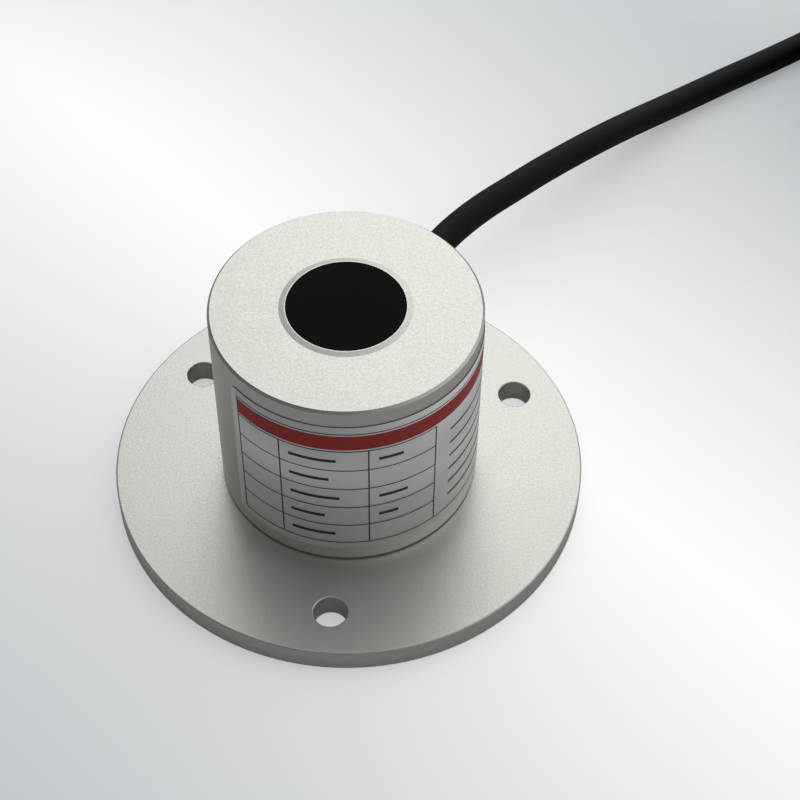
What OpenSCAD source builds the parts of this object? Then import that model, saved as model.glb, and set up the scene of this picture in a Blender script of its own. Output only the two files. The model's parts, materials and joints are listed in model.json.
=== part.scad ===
// Ultraviolet radiation sensor: a turned aluminium housing with a black filter glass in its top,
// screwed down on a round mounting flange, with its optics, circuit board, cable gland and lead.
// The origin is the centre of the flange's underside, +Z points up through the glass.

/* [Mounting flange] */
// Diameter of the flange
flange_d = 80; // [76:0.5:92]
// Thickness of the flange
flange_t = 4.4; // [3.6:0.1:7]
// Radius of the flange's outer edges
flange_edge_r = 0.3; // [0.1:0.05:0.6]
// Number of fixing holes
fixing_count = 3; // [3:1:6]
// Pitch circle of the fixing holes
fixing_pcd = 64.4; // [61:0.2:66]
// Diameter of the fixing holes
fixing_hole_d = 5.5; // [4.3:0.1:6]
// Radius of the fixing holes' upper edge
fixing_edge_r = 0.25; // [0.1:0.05:0.4]
// Angle of the first fixing hole
fixing_turn = -90; // [-100:5:-80]

/* [Gasket and housing screws] */
// Thickness of the gasket between the flange and the housing
gasket_t = 0.4; // [0.3:0.1:1]
// How far the gasket stays inside the housing's outside
gasket_inset = 0.25; // [0.1:0.05:0.6]
// Thread diameter of the housing screws
screw_d = 3; // [2.5:0.1:3.4]
// Length of the housing screws, head included
screw_length = 12; // [10:0.5:16]
// Head diameter of the housing screws
screw_head_d = 5.6; // [5:0.1:6.4]
// Height of the screw heads' cone
screw_head_h = 1.7; // [1.4:0.1:2]
// Radial clearance round the screws in the flange and the gasket
screw_clearance = 0.2; // [0.1:0.05:0.4]

/* [Housing] */
// Outside diameter of the housing
housing_d = 43.5; // [43:0.5:50]
// Height of the housing on its gasket
housing_h = 37.1; // [35:0.1:48]
// Thickness of the housing's side wall
housing_wall = 5.5; // [5:0.1:6]
// Thickness of the housing's top
housing_top_t = 7; // [6.4:0.1:8]
// Bevel round the housing's top edge
housing_bevel = 0.4; // [0.1:0.05:1]

/* [Window and optics] */
// Diameter of the filter glass
glass_d = 19; // [17:0.1:20]
// Thickness of the filter glass
glass_t = 3; // [2:0.1:3.4]
// Bevel round the filter glass's edges
glass_bevel = 0.12; // [0.05:0.01:0.3]
// Height of the lip that the glass sits in, above the housing's top
lip_h = 0.2; // [0.1:0.05:1]
// Width of the lip's crest
lip_crest = 0.15; // [0.1:0.05:0.5]
// Width of the lip's sloped flank
lip_slope = 0.9; // [0.3:0.05:1.5]
// Radial clearance round the glass, the sealing ring and the diffuser
optic_clearance = 0.05; // [0.02:0.01:0.15]
// Thickness of the sealing ring under the glass
seal_t = 0.5; // [0.3:0.1:0.8]
// Width of the ledge that carries the sealing ring
ledge_w = 2.4; // [1.8:0.1:3]
// Thickness of the ledge
ledge_t = 1; // [0.8:0.1:1.4]
// Diameter of the diffuser
diffuser_d = 17; // [16:0.1:17.6]
// Thickness of the diffuser
diffuser_t = 1.5; // [1:0.1:2]
// Thickness of the ring that holds the diffuser
retainer_t = 1.4; // [1:0.1:2]
// Opening of the ring that holds the diffuser
retainer_bore_d = 9.4; // [9:0.1:11]

/* [Photodiode] */
// Diameter of the photodiode's can
can_d = 8.2; // [7:0.1:8.4]
// Height of the photodiode over its header
can_h = 5.9; // [4.5:0.1:7]
// Wall thickness of the can
can_wall = 0.4; // [0.2:0.05:0.6]
// Diameter of the window in the can
can_window_d = 5; // [4:0.1:6]
// Thickness of the window in the can
can_window_t = 0.5; // [0.3:0.05:0.8]
// Diameter of the header
header_d = 9.2; // [8.8:0.1:10]
// Thickness of the header
header_t = 0.5; // [0.3:0.1:0.9]
// Side of the light-sensitive chip
die_side = 2.2; // [1:0.1:3]
// Thickness of the light-sensitive chip
die_t = 0.4; // [0.2:0.05:0.6]
// Diameter of the photodiode's pins
pin_d = 0.45; // [0.4:0.01:0.6]
// Circle on which the pins stand
pin_circle_d = 5.08; // [4.4:0.02:5.6]
// Thickness of the insulating spacer under the header
spacer_t = 0.5; // [0.3:0.1:1.5]
// Space between the can and the diffuser
can_space = 0.4; // [0.2:0.1:1]

/* [Circuit board] */
// Thickness of the circuit board
board_t = 1.6; // [1:0.1:2]
// Space between the circuit board and the housing's wall
board_clearance = 1.2; // [0.6:0.1:1.4]
// Thread diameter of the board screws and pillars
board_screw_d = 2.5; // [2:0.1:2.6]
// Width across the flats of the pillars
pillar_af = 5; // [4:0.1:5.2]
// Distance of the pillars' centres from the board's edge
pillar_inset = 2.85; // [2.7:0.05:3]
// Thread length at each end of a pillar
pillar_thread_l = 4; // [3:0.1:4.4]
// Height of the board screws' heads
board_head_h = 1.6; // [1.2:0.1:2]
// Head diameter of the board screws
board_head_d = 4.5; // [4:0.1:4.8]

/* [Cable gland] */
// Direction of the gland round the housing
gland_turn = 75; // [65:1:85]
// Height of the gland's axis above the flange's underside
gland_z = 12; // [11.8:0.1:13]
// Thread diameter of the gland in the housing
gland_thread_d = 10; // [8:0.1:10.4]
// Width across the flats of the gland's hexagons
gland_af = 14; // [13.4:0.1:14.4]
// Length of the gland body's hexagon
gland_hex_l = 4; // [3:0.1:5]
// Length of the threaded neck behind the cap
gland_neck_l = 5; // [4:0.1:6]
// Diameter of the threaded neck
gland_neck_d = 11.2; // [10.6:0.1:11.6]
// Length of the gland's cap
gland_cap_l = 10.6; // [9:0.1:13]
// Length of the cap's hexagon
gland_cap_hex_l = 5; // [4:0.1:6]
// Diameter of the cap's mouth round the cable
gland_mouth_d = 9; // [8:0.1:10]
// Thickness of the sealing washer under the gland
washer_t = 1; // [0.6:0.1:1.5]
// Length of the rubber bush in the gland
bush_l = 6; // [4:0.1:7]
// Outside diameter of the rubber bush
bush_d = 8.6; // [8:0.1:9]

/* [Label] */
// Length of the label round the housing
label_l = 64; // [30:1:66]
// Thickness of the label
label_t = 0.12; // [0.05:0.01:0.3]
// Distance from the housing's top to the label
label_drop = 3.3; // [2:0.1:6]
// Distance from the label to the housing's bottom
label_foot = 2.8; // [1:0.1:8]
// Direction of the label's left end round the housing
label_turn = -139; // [-145:1:-130]

/* [Cable] */
// Outside diameter of the cable
cable_d = 5.4; // [4.8:0.1:5.6]
// Diameter of one insulated wire
wire_d = 1.3; // [1:0.05:1.5]
// Space between two wires' pads on the circuit board
pad_pitch = 2.54; // [2.4:0.02:2.8]
// Length of cable inside the housing before its jacket ends
entry_l = 2.6; // [1:0.1:4]
// Outermost radius of the coil, to the middle of the cable
coil_r = 36; // [34:0.5:42]
// Step from one turn of the coil to the next
coil_pitch = 5.9; // [5.9:0.1:6.4]
// Width of a coil tie
tie_w = 4; // [2.5:0.5:8]
// Thickness of a coil tie
tie_t = 0.8; // [0.5:0.1:0.8]
// Length of the shrunk sleeve at the cable's end
sleeve_l = 12; // [8:1:16]
// Wall thickness of the shrunk sleeve
sleeve_wall = 0.4; // [0.3:0.1:0.6]
// Length of the free wires past the sleeve
free_wire_l = 26; // [20:1:30]
// Spread between two free wires' ends
free_wire_pitch = 6; // [4:0.5:7]
// Length of a ferrule's collar
ferrule_collar_l = 5; // [4:0.5:7]
// Length of a ferrule's pin
ferrule_pin_l = 6; // [5:0.5:9]
// Outside diameter of a ferrule's collar
ferrule_collar_d = 2.2; // [1.9:0.1:2.6]
// Outside diameter of a ferrule's pin
ferrule_pin_d = 1.1; // [0.8:0.1:1.4]

/* [Hidden] */
$fn = 96;

// Extra length of every cut, past the face that it opens
over = 1;
// Clearance between a thread and its hole, which stand for each other's flanks
thread_gap = 0.02;
// Bevel on small hexagons, pins and heads
small_bevel = 0.5;

// Heights that follow from the stack of pieces
gasket_z = flange_t;
housing_z = gasket_z + gasket_t;
housing_top_z = housing_z + housing_h;
ceiling_z = housing_top_z - housing_top_t;
lip_z = housing_top_z + lip_h;
glass_z = lip_z - glass_t;
ledge_top_z = glass_z - seal_t;
ledge_z = ledge_top_z - ledge_t;
diffuser_z = ledge_z - diffuser_t;
retainer_z = diffuser_z - retainer_t;
can_top_z = diffuser_z - can_space;
header_top_z = can_top_z - can_h;
header_z = header_top_z - header_t;
board_top_z = header_z - spacer_t;
board_z = board_top_z - board_t;

// Outer radius of the fixing holes' rounded edge
hole_edge_r = fixing_hole_d / 2 + fixing_edge_r;

// Radii that follow from the housing and the glass
housing_r = housing_d / 2;
bore_r = housing_r - housing_wall;
glass_pocket_r = glass_d / 2 + optic_clearance;
ledge_r = glass_d / 2 - ledge_w;
diffuser_pocket_r = diffuser_d / 2 + optic_clearance;
board_r = bore_r - board_clearance;
pillar_r = board_r - pillar_inset;
screw_r = bore_r + housing_wall / 2;
screw_directions = [for (i = [0:2]) gland_turn + 60 + 120 * i];

// Places along the gland's axis, measured from the housing's axis
hex_corner_r = gland_af / 2 / cos(30);
spot_margin = 0.2;
spot_r = hex_corner_r + spot_margin;
spot_depth_margin = 0.1;
spot_x = sqrt(pow(housing_r, 2) - pow(spot_r, 2)) - spot_depth_margin;
hex_x = spot_x + washer_t;
neck_x = hex_x + gland_hex_l;
cap_gap = 0.3;
cap_x = neck_x + cap_gap;
gland_exit_x = cap_x + gland_cap_l;
bush_x = neck_x + gland_neck_l - bush_l + cap_gap;
cable_hole_gap = 0.25;
cable_hole_r = cable_d / 2 + cable_hole_gap;
entry_x = bore_r - entry_l;

// Free route of the cable from the gland to the coil, and from the coil to its end.
// The first and the last step of each are straight.
lead_route = [
    [9.3, 34.8, 12], [10.7, 40, 12], [12, 43.7, 12], [13.6, 46.8, 11.9], [16.1, 50.5, 11.9],
    [20.4, 55.9, 11.8], [25.4, 61.4, 11.5], [30.8, 67.4, 11], [36.5, 73.8, 10], [42.5, 80.6, 8.6],
    [48.8, 88, 6.5], [55.2, 95.3, 4.3], [61.8, 101.8, 3], [68.8, 107.6, 2.7], [77.2, 114, 2.7],
    [86.2, 121, 2.8], [94, 127, 3.2], [101.3, 132.7, 3.6], [105.6, 136, 3.6]
];
tail_route = [
    [149.9, 79.3, 21.3], [145.6, 76, 21.3], [140.6, 71.8, 20.8], [136, 67.2, 18.8], [131.4, 61.4, 14.8],
    [127.4, 54.6, 9.9], [124, 47, 5.8], [121.4, 39, 3.4], [119.8, 31, 2.7], [119, 23.4, 2.7],
    [119, 18, 2.7]
];
coil_centre = [132, 111];
coil_turn = 128;
coil_layers = 4;
coil_layer_turns = 2.375;

// Height of the coil, which lies on its ties, and places along its winding
coil_lift = tie_t + 0.1;
coil_z = cable_d / 2 + coil_lift;
coil_turns = coil_layers * coil_layer_turns;
coil_sides = 6;
coil_rings = 24;
coil_inner_r = coil_r - coil_layer_turns * coil_pitch;

function unit(v) = v / norm(v);

// Rings of a tube that follows a line of points, each square to the line
function tube_points(line, r, sides, up) = [
    for (i = [0:len(line) - 1])
        let (along = unit(line[min(i + 1, len(line) - 1)] - line[max(i - 1, 0)]),
             side = unit(cross(up, along)),
             top = cross(along, side))
        for (k = [0:sides - 1])
            let (a = 360 * (k + 0.5) / sides)
            line[i] + r * (cos(a) * side + sin(a) * top)
];

function tube_faces(rings, sides) = concat(
    [for (k = [1:sides - 2]) [0, k, k + 1]],
    [for (i = [0:rings - 2], k = [0:sides - 1])
        let (a = i * sides + k, b = i * sides + (k + 1) % sides) [a, a + sides, b + sides]],
    [for (i = [0:rings - 2], k = [0:sides - 1])
        let (a = i * sides + k, b = i * sides + (k + 1) % sides) [a, b + sides, b]],
    [for (k = [1:sides - 2])
        let (a = (rings - 1) * sides) [a, a + k + 1, a + k]]
);

module tube(line, r, sides, up = [0, 0, 1]) {
    polyhedron(points = tube_points(line, r, sides, up), faces = tube_faces(len(line), sides));
}

// Point at share t of a curve that leaves p along d and arrives at q along e
function bend_point(p, d, q, e, t) =
    pow(1 - t, 3) * p + 3 * pow(1 - t, 2) * t * (p + d) + 3 * (1 - t) * pow(t, 2) * (q - e) + pow(t, 3) * q;

// Line of points along such a curve, with a short straight at each end
straight_share = 0.2;
function bend_line(p, d, q, e, steps) = concat(
    [p],
    [for (i = [0:steps]) bend_point(p + straight_share * d, d, q - straight_share * e, e, i / steps)],
    [q]
);

function sum(v) = v * [for (x = v) 1];
function line_length(line) = sum([for (i = [1:len(line) - 1]) norm(line[i] - line[i - 1])]);

// Radius and height of the coil after a number of turns: it spirals in and out again,
// and climbs a layer in the half turn round each reversal
function smooth(t) = let (s = min(max(t, 0), 1)) s * s * (3 - 2 * s);
function coil_radius(t) =
    let (share = t / coil_layer_turns, layer = floor(share), part = share - layer)
    coil_r - (coil_r - coil_inner_r) * (layer % 2 == 0 ? part : 1 - part);
function coil_height(t) =
    coil_z + coil_pitch * sum([for (i = [1:coil_layers - 1]) smooth(2 * (t - i * coil_layer_turns) + 0.5)]);
function coil_point(t) =
    let (a = coil_turn - 360 * t, r = coil_radius(t))
    [coil_centre[0] + r * cos(a), coil_centre[1] + r * sin(a), coil_height(t)];
function coil_heading(t) = let (a = coil_turn - 360 * t) [sin(a), -cos(a), 0];

coil_steps = round(coil_turns * coil_rings);
coil_wound = [for (i = [0:coil_steps]) coil_point(i * coil_turns / coil_steps)];
coil_line = concat(
    [coil_wound[0] - cable_d * coil_heading(0)], coil_wound,
    [coil_wound[coil_steps] + cable_d * coil_heading(coil_turns)]
);

// Least gap between the coil's turns, over pairs of points at least a third of a turn apart
coil_gap = min([for (i = [0:coil_steps], j = [i + coil_rings / 3:coil_steps])
    norm(coil_wound[i] - coil_wound[j])]) - cable_d;
echo(least_gap_in_coil = coil_gap);

echo(cable_length = line_length(lead_route) + line_length(coil_line) + line_length(tail_route));

module ring(r_out, r_in, z, h) {
    translate([0, 0, z]) difference() {
        cylinder(h = h, r = r_out);
        translate([0, 0, -over]) cylinder(h = h + 2 * over, r = r_in);
    }
}

// Points of an arc in an outline
edge_steps = 4;
function arc(centre, r, from, to) = [
    for (i = [0:edge_steps]) let (a = from + (to - from) * i / edge_steps) centre + r * [cos(a), sin(a)]
];

// Disc with rounded edges
module rounded_disc(r, h, edge_r) {
    rotate_extrude() polygon(concat(
        [[0, 0]], arc([r - edge_r, edge_r], edge_r, -90, 0), arc([r - edge_r, h - edge_r], edge_r, 0, 90), [[0, h]]
    ));
}

// Disc with bevelled edges
module bevelled_disc(r, h, bevel) {
    rotate_extrude() polygon([
        [0, 0], [r - bevel, 0], [r, bevel], [r, h - bevel], [r - bevel, h], [0, h]
    ]);
}

module at_fixings() {
    for (i = [0:fixing_count - 1])
        rotate([0, 0, fixing_turn + 360 * i / fixing_count])
            translate([fixing_pcd / 2, 0, 0]) children();
}

module at_housing_screws() {
    for (a = screw_directions) rotate([0, 0, a]) translate([screw_r, 0, 0]) children();
}

module at_pillars() {
    for (a = screw_directions) rotate([0, 0, a]) translate([pillar_r, 0, 0]) children();
}

// Turns a piece built on Z onto the gland's axis, pointing outwards
module at_gland() {
    rotate([0, 0, gland_turn]) translate([0, 0, gland_z]) rotate([0, 90, 0]) rotate([0, 0, 90]) children();
}

// Board coordinates: +Y towards the gland, Z as in the part
module on_board() {
    rotate([0, 0, gland_turn - 90]) children();
}

// Hexagonal prism with its corners turned down at the far end
module hexagon(af, h, bevel) {
    r = af / 2 / cos(30);
    intersection() {
        cylinder(h = h, r = r, $fn = 6);
        rotate_extrude() polygon([
            [0, 0], [r, 0], [r, h - bevel / 2], [r - bevel, h], [0, h]
        ]);
    }
}

module mounting_flange() {
    color("gainsboro") difference() {
        rounded_disc(flange_d / 2, flange_t, flange_edge_r);
        at_fixings() {
            translate([0, 0, -over]) cylinder(h = flange_t + 2 * over, r = fixing_hole_d / 2);
            rotate_extrude() polygon(concat(
                [[0, flange_t - fixing_edge_r]],
                arc([hole_edge_r, flange_t - fixing_edge_r], fixing_edge_r, 180, 90),
                [[hole_edge_r, flange_t + over], [0, flange_t + over]]
            ));
        }
        at_housing_screws() {
            translate([0, 0, -over]) cylinder(h = flange_t + 2 * over, r = screw_d / 2 + screw_clearance);
            translate([0, 0, -over])
                cylinder(h = over, r = screw_head_d / 2 + screw_clearance);
            cylinder(
                h = screw_head_h, r1 = screw_head_d / 2 + screw_clearance, r2 = screw_d / 2 + screw_clearance
            );
        }
    }
}

module base_gasket() {
    color("dimgray") difference() {
        ring(housing_r - gasket_inset, bore_r + gasket_inset, gasket_z, gasket_t);
        at_housing_screws() translate([0, 0, gasket_z - over])
            cylinder(h = gasket_t + 2 * over, r = screw_d / 2 + screw_clearance);
    }
}

screw_sink = 0.1;
socket_af = 2;
socket_depth = 1.2;

module housing_screws() {
    color("silver") at_housing_screws() difference() {
        union() {
            translate([0, 0, screw_sink])
                cylinder(h = screw_head_h, r1 = screw_head_d / 2, r2 = screw_d / 2);
            translate([0, 0, screw_sink])
                cylinder(h = screw_length - small_bevel, r = screw_d / 2);
            translate([0, 0, screw_sink + screw_length - small_bevel])
                cylinder(h = small_bevel, r1 = screw_d / 2, r2 = screw_d / 2 - small_bevel);
        }
        translate([0, 0, screw_sink - over])
            cylinder(h = socket_depth + over, r = socket_af / 2 / cos(30), $fn = 6);
    }
}

// Free depth left past the end of a screw or a stud
blind_extra = 0.5;

module housing() {
    color("gainsboro") difference() {
        union() {
            translate([0, 0, housing_z]) rotate_extrude() polygon([
                [0, 0], [housing_r, 0], [housing_r, housing_h - housing_bevel],
                [housing_r - housing_bevel, housing_h], [0, housing_h]
            ]);
            translate([0, 0, housing_top_z]) cylinder(
                h = lip_h, r1 = glass_pocket_r + lip_crest + lip_slope, r2 = glass_pocket_r + lip_crest
            );
        }
        translate([0, 0, housing_z - over]) cylinder(h = ceiling_z - housing_z + over, r = bore_r);
        translate([0, 0, ledge_top_z]) cylinder(h = glass_t + seal_t + over, r = glass_pocket_r);
        translate([0, 0, ledge_z - over]) cylinder(h = ledge_t + 2 * over, r = ledge_r);
        translate([0, 0, ceiling_z - over])
            cylinder(h = ledge_z - ceiling_z + over, r = diffuser_pocket_r);
        at_housing_screws() translate([0, 0, housing_z - over]) cylinder(
            h = screw_sink + screw_length + blind_extra - housing_z + over, r = screw_d / 2 + thread_gap
        );
        at_pillars() translate([0, 0, ceiling_z - over])
            cylinder(h = pillar_thread_l + blind_extra + over, r = board_screw_d / 2 + thread_gap);
        at_gland() {
            translate([0, 0, spot_x]) cylinder(h = housing_r, r = spot_r);
            translate([0, 0, entry_x]) cylinder(h = housing_r, r = gland_thread_d / 2 + thread_gap);
        }
    }
}

module filter_glass() {
    color([0.05, 0.05, 0.06]) translate([0, 0, glass_z]) bevelled_disc(glass_d / 2, glass_t, glass_bevel);
}

module glass_seal() {
    color("dimgray") ring(glass_d / 2, ledge_r + optic_clearance, ledge_top_z, seal_t);
}

module diffuser() {
    color("white") translate([0, 0, diffuser_z]) cylinder(h = diffuser_t, r = diffuser_d / 2);
}

slot_w = 1;
slot_depth = 0.8;

module diffuser_retainer() {
    color("darkgray") difference() {
        ring(diffuser_pocket_r - thread_gap, retainer_bore_d / 2, retainer_z, retainer_t);
        translate([-diffuser_d, -slot_w / 2, retainer_z - over])
            cube([2 * diffuser_d, slot_w, slot_depth + over]);
    }
}

module photodiode_can() {
    color("silver") difference() {
        translate([0, 0, header_top_z]) bevelled_disc(can_d / 2, can_h, can_wall / 2);
        translate([0, 0, header_top_z - over])
            cylinder(h = can_h - can_wall + over, r = can_d / 2 - can_wall);
        translate([0, 0, can_top_z - can_wall - over])
            cylinder(h = can_wall + 2 * over, r = can_window_d / 2);
    }
}

module photodiode_window() {
    color([0.7, 0.8, 0.95]) translate([0, 0, can_top_z - can_wall - can_window_t])
        cylinder(h = can_window_t, r = can_d / 2 - can_wall - optic_clearance);
}

module photodiode_chip() {
    color("midnightblue") translate([-die_side / 2, -die_side / 2, header_top_z])
        cube([die_side, die_side, die_t]);
}

module photodiode_header() {
    color("goldenrod") translate([0, 0, header_z]) cylinder(h = header_t, r = header_d / 2);
}

pin_stub = 0.7;

module at_pins() {
    on_board() for (a = [0, 90, 270]) rotate([0, 0, a]) translate([pin_circle_d / 2, 0, 0]) children();
}

module photodiode_pins() {
    color("goldenrod") at_pins() translate([0, 0, board_z - pin_stub])
        cylinder(h = header_z - board_z + pin_stub, r = pin_d / 2, $fn = 24);
}

module photodiode_spacer() {
    color("ivory") difference() {
        translate([0, 0, board_top_z]) cylinder(h = spacer_t, r = header_d / 2);
        at_pins() translate([0, 0, board_top_z - over])
            cylinder(h = spacer_t + 2 * over, r = pin_d, $fn = 24);
    }
}

// Pads of the cable's wires, in board coordinates
pad_inset = 2.2 * wire_d;
pad_y = board_r - pad_inset;
pad_places = [for (i = [0:3]) [(i - 1.5) * pad_pitch, pad_y]];

module circuit_board() {
    color("darkgreen") difference() {
        translate([0, 0, board_z]) cylinder(h = board_t, r = board_r);
        at_pillars() translate([0, 0, board_z - over])
            cylinder(h = board_t + 2 * over, r = board_screw_d / 2 + optic_clearance);
        at_pins() translate([0, 0, board_z - over])
            cylinder(h = board_t + 2 * over, r = pin_d, $fn = 24);
    }
}

module board_pillars() {
    color("goldenrod") at_pillars() difference() {
        union() {
            translate([0, 0, board_top_z]) rotate([0, 0, 30])
                cylinder(h = ceiling_z - board_top_z, r = pillar_af / 2 / cos(30), $fn = 6);
            translate([0, 0, ceiling_z - small_bevel])
                cylinder(h = pillar_thread_l + small_bevel, r = board_screw_d / 2);
        }
        translate([0, 0, board_top_z - over])
            cylinder(h = pillar_thread_l + over, r = board_screw_d / 2 + thread_gap);
    }
}

// Share of the pillar's thread that a board screw fills
thread_use_share = 0.8;
cross_w = 0.6;
cross_depth = 0.9;

module board_screws() {
    color("silver") at_pillars() difference() {
        union() {
            translate([0, 0, board_z - board_head_h])
                bevelled_disc(board_head_d / 2, board_head_h, small_bevel / 2);
            translate([0, 0, board_z - small_bevel])
                cylinder(h = board_t + thread_use_share * pillar_thread_l + small_bevel, r = board_screw_d / 2);
        }
        for (a = [0, 90]) rotate([0, 0, a])
            translate([-board_screw_d / 2, -cross_w / 2, board_z - board_head_h - over])
                cube([board_screw_d, cross_w, cross_depth + over]);
    }
}

// Packages on the underside of the board. Their places are shares of the board's radius.
chip_w = 3.9;
chip_l = 4.9;
chip_h = 1.5;
chip_space = 0.1;
chip_x_share = 0.53;
chip_y_share = -0.1;
chip_x = chip_x_share * board_r;
chip_y = chip_y_share * board_r;
regulator_l = 6.5;
regulator_w = 3.5;
regulator_h = 1.6;
regulator_y_share = 0.46;
regulator_y = regulator_y_share * board_r;

module package(l, w, h) {
    translate([-l / 2, -w / 2, board_z - chip_space - h]) cube([l, w, h]);
}

module amplifier_chip() {
    color("black") on_board() translate([-chip_x, chip_y, 0]) package(chip_w, chip_l, chip_h);
}

module transmitter_chip() {
    color("black") on_board() translate([chip_x, chip_y, 0]) package(chip_w, chip_l, chip_h);
}

module voltage_regulator() {
    color("black") on_board() translate([0, regulator_y, 0])
        package(regulator_l, regulator_w, regulator_h);
}

lead_t = 0.2;
lead_reach = 1.05;
lead_foot = 0.6;
lead_w = 0.42;
lead_pitch = 1.27;
tab_w = 3;
tab_lead_w = 0.7;
tab_lead_pitch = 2.3;

// One bent lead that leaves a package towards +X at its middle height and stands on the board
module bent_lead(w, h) {
    mid = board_z - chip_space - h / 2;
    foot = board_z - lead_t;
    translate([0, w / 2, 0]) rotate([90, 0, 0]) linear_extrude(height = w) polygon([
        [0, mid - lead_t / 2], [lead_reach - lead_foot + lead_t, mid - lead_t / 2],
        [lead_reach - lead_foot + lead_t, foot], [lead_reach, foot], [lead_reach, board_z],
        [lead_reach - lead_foot, board_z], [lead_reach - lead_foot, mid + lead_t / 2],
        [0, mid + lead_t / 2]
    ]);
}

module lead_rows() {
    for (side = [0, 180]) rotate([0, 0, side]) for (i = [0:3])
        translate([chip_w / 2, (i - 1.5) * lead_pitch, 0]) bent_lead(lead_w, chip_h);
}

module chip_leads() {
    color("silver") on_board() {
        for (x = [-chip_x, chip_x]) translate([x, chip_y, 0]) lead_rows();
        translate([0, regulator_y, 0]) {
            rotate([0, 0, -90]) for (i = [-1:1])
                translate([regulator_w / 2, i * tab_lead_pitch, 0]) bent_lead(tab_lead_w, regulator_h);
            rotate([0, 0, 90]) translate([regulator_w / 2, 0, 0]) bent_lead(tab_w, regulator_h);
        }
    }
}

diode_l = 4.6;
diode_w = 3.6;
diode_h = 2.2;
diode_shares = [-0.42, -0.55];

module surge_diode() {
    color("black") on_board() translate(board_r * diode_shares) package(diode_l, diode_w, diode_h);
}

can_cap_d = 5;
can_cap_h = 4.6;
can_cap_base = 5.3;
can_cap_base_h = 0.8;
can_cap_shares = [[0.44, -0.56], [0.02, -0.42]];

module at_places(places) {
    on_board() for (p = places) translate([p[0], p[1], 0]) children();
}

module capacitor_cans() {
    color("silver") at_places(board_r * can_cap_shares)
        translate([0, 0, board_z - can_cap_base_h - can_cap_h])
            bevelled_disc(can_cap_d / 2, can_cap_h, small_bevel / 2);
}

module capacitor_bases() {
    color("black") at_places(board_r * can_cap_shares)
        translate([-can_cap_base / 2, -can_cap_base / 2, board_z - can_cap_base_h])
            cube([can_cap_base, can_cap_base, can_cap_base_h]);
}

chip_part_l = 2;
chip_part_w = 1.25;
terminal_l = 0.4;
ceramic_h = 1;
resistor_h = 0.5;
ceramic_shares = [[-0.22, 0.01], [-0.84, -0.09], [0.84, -0.09], [-0.77, -0.42], [0.78, -0.4]];
resistor_shares = [for (x = [-0.38, 0.38], i = [0:3]) [x, 0.18 + 0.12 * i]];

// Middle of a small two-ended part, or its two metal ends, standing on the board's underside
module small_part(h, ends) {
    middle_l = chip_part_l - 2 * terminal_l;
    if (ends) {
        for (s = [-1, 1]) translate([s * (middle_l + terminal_l) / 2, 0, 0])
            translate([-terminal_l / 2, -chip_part_w / 2, board_z - h]) cube([terminal_l, chip_part_w, h]);
    } else {
        translate([-middle_l / 2, -chip_part_w / 2, board_z - h]) cube([middle_l, chip_part_w, h]);
    }
}

module ceramic_capacitors() {
    color("tan") at_places(board_r * ceramic_shares) rotate([0, 0, 90]) small_part(ceramic_h, false);
}

module resistors() {
    color("black") at_places(board_r * resistor_shares) small_part(resistor_h, false);
}

module chip_terminals() {
    color("silver") {
        at_places(board_r * ceramic_shares) rotate([0, 0, 90]) small_part(ceramic_h, true);
        at_places(board_r * resistor_shares) small_part(resistor_h, true);
        on_board() translate(board_r * diode_shares) for (s = [0, 180]) rotate([0, 0, s])
            translate([diode_l / 2, 0, 0]) bent_lead(diode_w / 2, diode_h);
    }
}

solder_h = 0.5;
solder_r = 0.8 * wire_d;
pin_solder_r = 1.6 * pin_d;

module solder_joints() {
    color("lightgray") {
        at_places(pad_places) translate([0, 0, board_z - solder_h])
            cylinder(h = solder_h, r1 = wire_d / 2, r2 = solder_r, $fn = 24);
        at_pins() difference() {
            translate([0, 0, board_z - solder_h])
                cylinder(h = solder_h, r1 = pin_d, r2 = pin_solder_r, $fn = 24);
            translate([0, 0, board_z - solder_h - over])
                cylinder(h = solder_h + 2 * over, r = pin_d / 2 + thread_gap, $fn = 24);
        }
    }
}

// Insulated wire from the cable's cut end up to its pad: i counts the wires from 0 to 3
wire_sides = 8;
wire_steps = 12;
wire_offset = 0.6 * wire_d;
wire_reach_shares = [0.8, 0.45, 0.45, 0.8];

module inner_wire(i) {
    start = [
        (i < 2 ? -1 : 1) * wire_offset, entry_x, gland_z + (i == 0 || i == 3 ? -1 : 1) * wire_offset
    ];
    finish = [pad_places[i][0], pad_places[i][1], board_z - solder_h];
    inwards = [0, -wire_reach_shares[i] * entry_x, 0];
    upwards = [0, 0, (board_z - gland_z) / 2];
    on_board() tube(bend_line(start, inwards, finish, upwards, wire_steps), wire_d / 2, wire_sides, [1, 0, 0]);
}

module wire_red() { color("firebrick") inner_wire(0); }
module wire_black() { color("black") inner_wire(1); }
module wire_yellow() { color("gold") inner_wire(2); }
module wire_green() { color("seagreen") inner_wire(3); }

module cable_entry() {
    color([0.1, 0.1, 0.11]) at_gland() translate([0, 0, entry_x])
        cylinder(h = gland_exit_x - entry_x, r = cable_d / 2);
}

module gland_washer() {
    color([0.15, 0.15, 0.15]) at_gland()
        ring(gland_af / 2 - optic_clearance, gland_thread_d / 2 + optic_clearance, spot_x, washer_t);
}

// Toothed outline of a thread between two places on an axis, as points [radius, place].
// Each tooth's corners are shares of its depth and of its step.
tooth_shares = [[1, 0], [0, 0.25], [0, 0.5], [1, 0.75]];
function thread_outline(r, depth, from, to, teeth) = [
    for (i = [0:teeth - 1], p = tooth_shares) [r - depth * p[0], from + (i + p[1]) * (to - from) / teeth]
];
thread_depth = 0.35;
neck_teeth = 5;
stub_teeth = 4;

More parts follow.
